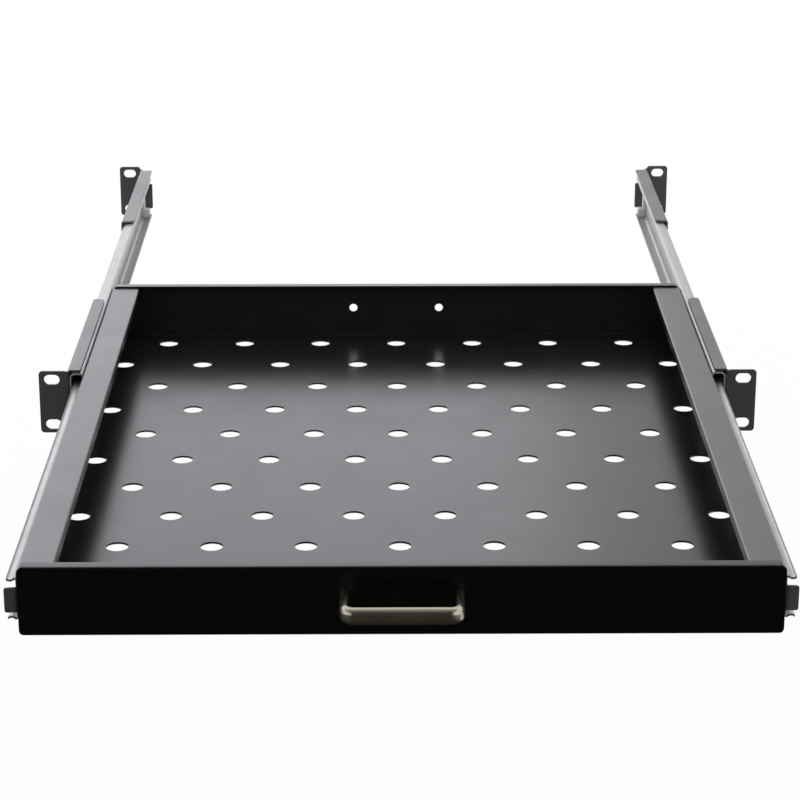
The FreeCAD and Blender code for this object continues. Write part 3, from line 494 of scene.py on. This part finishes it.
# %% Rows of screws and nuts
SLIDE_SCREW = {"head": 7.4 * MM, "height": 2.2 * MM, "shank": 4 * MM}
NUT = {"flats": 7 * MM, "height": 3.2 * MM, "bore": 4.05 * MM}


def spread(low, high, margin, count):
    """Evenly spaced places between two ends, each end a margin inside."""
    gap = (high - low - 2 * margin) / (count - 1)
    return [low + margin + gap * index for index in range(count)]


def add_fasteners(name, node, body, build):
    piece = new_object(name, build, screw_zinc)
    piece.modifiers.new("smooth_bends", "NODES").node_group = bend_smoother
    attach(piece, body)
    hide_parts(node)
    return piece


def add_side_row(name, node, body, count, side):
    """Screws with outward heads, in a row along one slide."""
    low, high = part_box(node)
    middle = (low.z + high.z) / 2
    seat = (high.x if side > 0 else low.x) - side * SLIDE_SCREW["height"]
    length = high.x - low.x - SLIDE_SCREW["height"]
    places = [stand_at((seat, y, middle), (side, 0, 0))
              for y in spread(low.y, high.y, SLIDE_SCREW["head"] / 2, count)]

    def build(shape):
        build_screw(shape, length=length, **SLIDE_SCREW)
        copy_to(shape, places)

    return add_fasteners(name, node, body, build)


def add_nut_row(name, node, count, side):
    low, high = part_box(node)
    middle = (low.z + high.z) / 2
    seat = high.x if side > 0 else low.x
    places = [stand_at((seat, y, middle), (-side, 0, 0))
              for y in spread(low.y, high.y, NUT["flats"] / 2, count)]

    def build(shape):
        build_nut(shape, **NUT)
        copy_to(shape, places)

    return add_fasteners(name, node, "tray", build)


print("slide screws of", SLIDE_SCREW["shank"] / MM, "mm with heads of", SLIDE_SCREW["head"] / MM, "mm")

# %% [markdown]
# The handle is held from inside the tray by two screws that point to the front, so they get a builder of their
# own. The four screws of each slide go through the side wall into four nuts, and each bracket has two screws.

# %% Put the screws and nuts in their places
TRAY_ROW, BRACKET_ROW, HANDLE_ROW = 4, 2, 2
HANDLE_SCREW = {"head": 5.6 * MM, "height": 2 * MM, "shank": 3 * MM}


def build_handle_screws(shape):
    low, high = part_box("handle_screws")
    seat = high.y - HANDLE_SCREW["height"]
    middle = (low.z + high.z) / 2
    build_screw(shape, length=seat - low.y, **HANDLE_SCREW)
    copy_to(shape, [stand_at((x, seat, middle), (0, 1, 0))
                    for x in spread(low.x, high.x, HANDLE_SCREW["head"] / 2, HANDLE_ROW)])


fasteners = [add_fasteners("handle_pan_screws", "handle_screws", "tray", build_handle_screws)]
for word, side in (("left", -1), ("right", 1)):
    fasteners.append(add_side_row(f"tray_pan_screws_{word}", f"tray_screws_{word}", "tray", TRAY_ROW, side))
    fasteners.append(add_nut_row(f"tray_hex_nuts_{word}", f"tray_nuts_{word}", TRAY_ROW, side))
    for end in ("front", "rear"):
        name, node = f"{end}_bracket_pan_screws_{word}", f"{end}_bracket_screws_{word}"
        fasteners.append(add_side_row(name, node, "rack_rails", BRACKET_ROW, side))
faces = sum(len(piece.data.polygons) for piece in fasteners)
print("fastener groups:", len(fasteners), "with", faces, "faces")

# %% [markdown]
# ## Floor
# The shelf is shown on pure white. The floor lies well below it and is white to the camera and in
# reflections, mixed with a share of plain diffuse white that still takes the soft shadow. A brighter lamp would
# whiten the floor as well, but the shelf with it. The share fades out with distance, so that no horizon shows.
# Seen from below the floor is clear, so that the underside can be looked at too.

# %% Make the floor
FLOOR_LEVEL = -0.45
FLOOR_WIDTH = 14.0
SHADOW_SHARE = 0.08
SHADOW_NEAR, SHADOW_FAR = 0.7, 2.6
FLOOR_PAINT = (0.9, 0.9, 0.9, 1)


def seen_directly(tree):
    """1 for rays from the camera or from a shiny or clear surface, and 0 for the others."""
    path = tree.nodes.new("ShaderNodeLightPath")
    total = path.outputs["Is Camera Ray"]
    for ray in ("Is Glossy Ray", "Is Transmission Ray"):
        either = tree.nodes.new("ShaderNodeMath")
        either.operation = "MAXIMUM"
        tree.links.new(total, either.inputs[0])
        tree.links.new(path.outputs[ray], either.inputs[1])
        total = either.outputs["Value"]
    return total


def make_floor_paint():
    material = bpy.data.materials.new("floor_white")
    material.use_nodes = True
    tree = material.node_tree
    tree.nodes.clear()
    matt = tree.nodes.new("ShaderNodeBsdfDiffuse")
    matt.inputs["Color"].default_value = FLOOR_PAINT
    glow = tree.nodes.new("ShaderNodeEmission")
    place = tree.nodes.new("ShaderNodeTexCoord")
    distance = tree.nodes.new("ShaderNodeVectorMath")
    distance.operation = "LENGTH"
    fade = tree.nodes.new("ShaderNodeMapRange")
    for socket, number in (("From Min", SHADOW_NEAR), ("From Max", SHADOW_FAR),
                           ("To Min", 1 - SHADOW_SHARE), ("To Max", 1.0)):
        fade.inputs[socket].default_value = number
    share = tree.nodes.new("ShaderNodeMath")
    share.operation = "MULTIPLY"
    mix = tree.nodes.new("ShaderNodeMixShader")
    clear = tree.nodes.new("ShaderNodeBsdfTransparent")
    sides = tree.nodes.new("ShaderNodeMixShader")
    facing = tree.nodes.new("ShaderNodeNewGeometry")
    output = tree.nodes.new("ShaderNodeOutputMaterial")
    link = tree.links.new
    link(place.outputs["Object"], distance.inputs[0])
    link(distance.outputs["Value"], fade.inputs["Value"])
    link(fade.outputs["Result"], share.inputs[1])
    link(seen_directly(tree), share.inputs[0])
    link(share.outputs["Value"], mix.inputs["Fac"])
    link(matt.outputs["BSDF"], mix.inputs[1])
    link(glow.outputs["Emission"], mix.inputs[2])
    link(facing.outputs["Backfacing"], sides.inputs["Fac"])
    link(mix.outputs["Shader"], sides.inputs[1])
    link(clear.outputs["BSDF"], sides.inputs[2])
    link(sides.outputs["Shader"], output.inputs["Surface"])
    return material


def build_floor(shape):
    bmesh.ops.create_grid(shape, x_segments=1, y_segments=1, size=FLOOR_WIDTH / 2,
                          matrix=Matrix.Translation((0, 0, FLOOR_LEVEL)))


floor = new_object("floor", build_floor, make_floor_paint())
print("floor at", FLOOR_LEVEL, "m")

# %% [markdown]
# ## World
# The world is white wherever the camera or a shiny surface sees it, and a little dimmer as light, which keeps
# colours near their written value. The Light Path node tells the two apart.

# %% Make the world
WORLD_LIGHT = 0.8
world = bpy.data.worlds.new("white_studio")
bpy.context.scene.world = world
world.use_nodes = True
sky = world.node_tree.nodes["Background"]
sky.inputs["Color"].default_value = (1, 1, 1, 1)
level = world.node_tree.nodes.new("ShaderNodeMapRange")
level.inputs["To Min"].default_value = WORLD_LIGHT
level.inputs["To Max"].default_value = 1.0
world.node_tree.links.new(seen_directly(world.node_tree), level.inputs["Value"])
world.node_tree.links.new(level.outputs["Result"], sky.inputs["Strength"])
print("world light", WORLD_LIGHT)

# %% [markdown]
# ## Soft box
# A wide soft box stands behind the shelf, a little to the left. The level tops of the tray reflect it towards
# the camera, which is why they read as grey although they are black. An area lamp does this best: its size sets
# how far the bright patch reaches, and its power is worked out from the brightness of its face.

# %% Hang the soft box
BOX_SIZE = (3.1, 1.7)
BOX_PLACE = Vector((-1.07, 2.1, 1.0))
BOX_AIM = Vector((0, 0, 0))
BOX_BRIGHTNESS = 0.86
BOX_COLOUR = (0.88, 0.87, 1.0)

soft_box = bpy.data.lights.new("soft_box", "AREA")
soft_box.shape = "RECTANGLE"
soft_box.size, soft_box.size_y = BOX_SIZE
soft_box.energy = BOX_BRIGHTNESS * math.pi * BOX_SIZE[0] * BOX_SIZE[1]
soft_box.color = BOX_COLOUR
lamp = bpy.data.objects.new("soft_box", soft_box)
lamp.location = BOX_PLACE
lamp.rotation_euler = (BOX_AIM - BOX_PLACE).to_track_quat("-Z", "Y").to_euler()
bpy.context.scene.collection.objects.link(lamp)
print("soft box of", BOX_SIZE, "m")

# %% [markdown]
# ## Dark cards
# The upright front is black in the photograph. Dark cards do that in a studio, put where it would mirror the
# room: here two lie on the floor, ahead of the shelf and under its left half, one stands behind the camera, and
# one hangs overhead. The overhead one pales towards the shelf, so that the bar of the handle shades from a
# bright upper edge down to dark. The cards are hidden from the camera and throw no shadow, so they only show in
# reflections.

# %% Paper for the cards
CARD_DARK = (0.026, 0.0235, 0.017)
CEILING_PALE = (0.6, 0.56, 0.52)
CEILING_REAR, CEILING_FRONT = 0.25, -3.0


def make_card_paper(name):
    """Matt dark paper that grows paler towards the rear edge of the overhead card."""
    material, tree, shader = new_finish(name, Roughness=1.0, Specular_IOR_Level=0.0)
    fade = tree.nodes.new("ShaderNodeMapRange")
    for socket, number in (("From Min", CEILING_FRONT), ("From Max", CEILING_REAR),
                           ("To Min", NOISE_LOW), ("To Max", NOISE_HIGH)):
        fade.inputs[socket].default_value = number
    tree.links.new(split_place(tree)["Y"], fade.inputs["Value"])
    paper = colour_range(tree, fade.outputs["Result"], CARD_DARK, CEILING_PALE)
    tree.links.new(paper, shader.inputs["Base Color"])
    return material


card_black = new_finish("card_black", Base_Color=(*CARD_DARK, 1), Roughness=1.0)[0]
card_fade = make_card_paper("card_fade")
print("card papers:", card_black.name, card_fade.name)

# %% Hang the cards
CARD_REACH, CARD_HALF = 4.0, 2.0
CARD_REAR, CARD_RIGHT = -0.28, 1.2
CARD_LEVEL = FLOOR_LEVEL + 0.01
TONGUE_LEFT, TONGUE_RIGHT, TONGUE_REAR = 2.0, 0.5, 0.6
CEILING_HEIGHT, CEILING_LEFT = 2.4, 3.4


def add_card(shape, low, high, level, turn=0):
    """A card between two corners in X and Y at a level, or stood up by a turn about its middle."""
    middle = [(a + b) / 2 for a, b in zip(low, high)]
    half = [(b - a) / 2 for a, b in zip(low, high)]
    bmesh.ops.create_grid(shape, x_segments=1, y_segments=1, size=1, matrix=Matrix.Translation(
        (*middle, level)) @ Matrix.Rotation(turn, 4, "X") @ Matrix.Diagonal((*half, 1, 1)))


def build_dark_cards(shape):
    """Two cards on the floor, and one that stands at the far end of the first, behind the camera."""
    add_card(shape, (-CARD_HALF, -CARD_REACH), (CARD_RIGHT, CARD_REAR), CARD_LEVEL)
    add_card(shape, (-TONGUE_LEFT, CARD_REAR), (TONGUE_RIGHT, TONGUE_REAR), CARD_LEVEL)
    add_card(shape, (-CARD_HALF, -1.5 * CARD_REACH), (CARD_HALF, -0.5 * CARD_REACH),
             FLOOR_LEVEL + CARD_REACH / 2, math.radians(90))


def build_ceiling_card(shape):
    add_card(shape, (-CEILING_LEFT, -CARD_REACH), (CARD_HALF, CEILING_REAR), CEILING_HEIGHT)


dark_cards = new_object("dark_cards", build_dark_cards, card_black)
ceiling_card = new_object("ceiling_card", build_ceiling_card, card_fade)
for card in (dark_cards, ceiling_card):
    card.visible_camera = False
    card.visible_diffuse = False
    card.visible_shadow = False
print("cards reach", CARD_REACH, "m to the front")

# %% [markdown]
# ## Camera
# The photograph's view was worked out from the ear slots, the tray corners and the vent holes: a long lens
# about a metre and a half in front of the ears, a little over half a metre above them, looking down.

# %% Set up the camera
LENS = 113.3
SENSOR = 36.0
CAMERA_PLACE = Vector((-10.33, -1602.7, 565.1)) * MM
LOOK_DOWN = math.radians(19.41)
LOOK_RIGHT = math.radians(0.42)

camera_data = bpy.data.cameras.new("camera")
camera_data.lens = LENS
camera_data.sensor_width = SENSOR
camera_data.sensor_fit = "HORIZONTAL"
camera = bpy.data.objects.new("camera", camera_data)
camera.location = CAMERA_PLACE
camera.rotation_euler = (math.pi / 2 - LOOK_DOWN, 0, -LOOK_RIGHT)
bpy.context.scene.collection.objects.link(camera)
bpy.context.scene.camera = camera
bpy.context.scene.view_settings.view_transform = "Standard"
print("camera at", [round(value, 3) for value in CAMERA_PLACE])
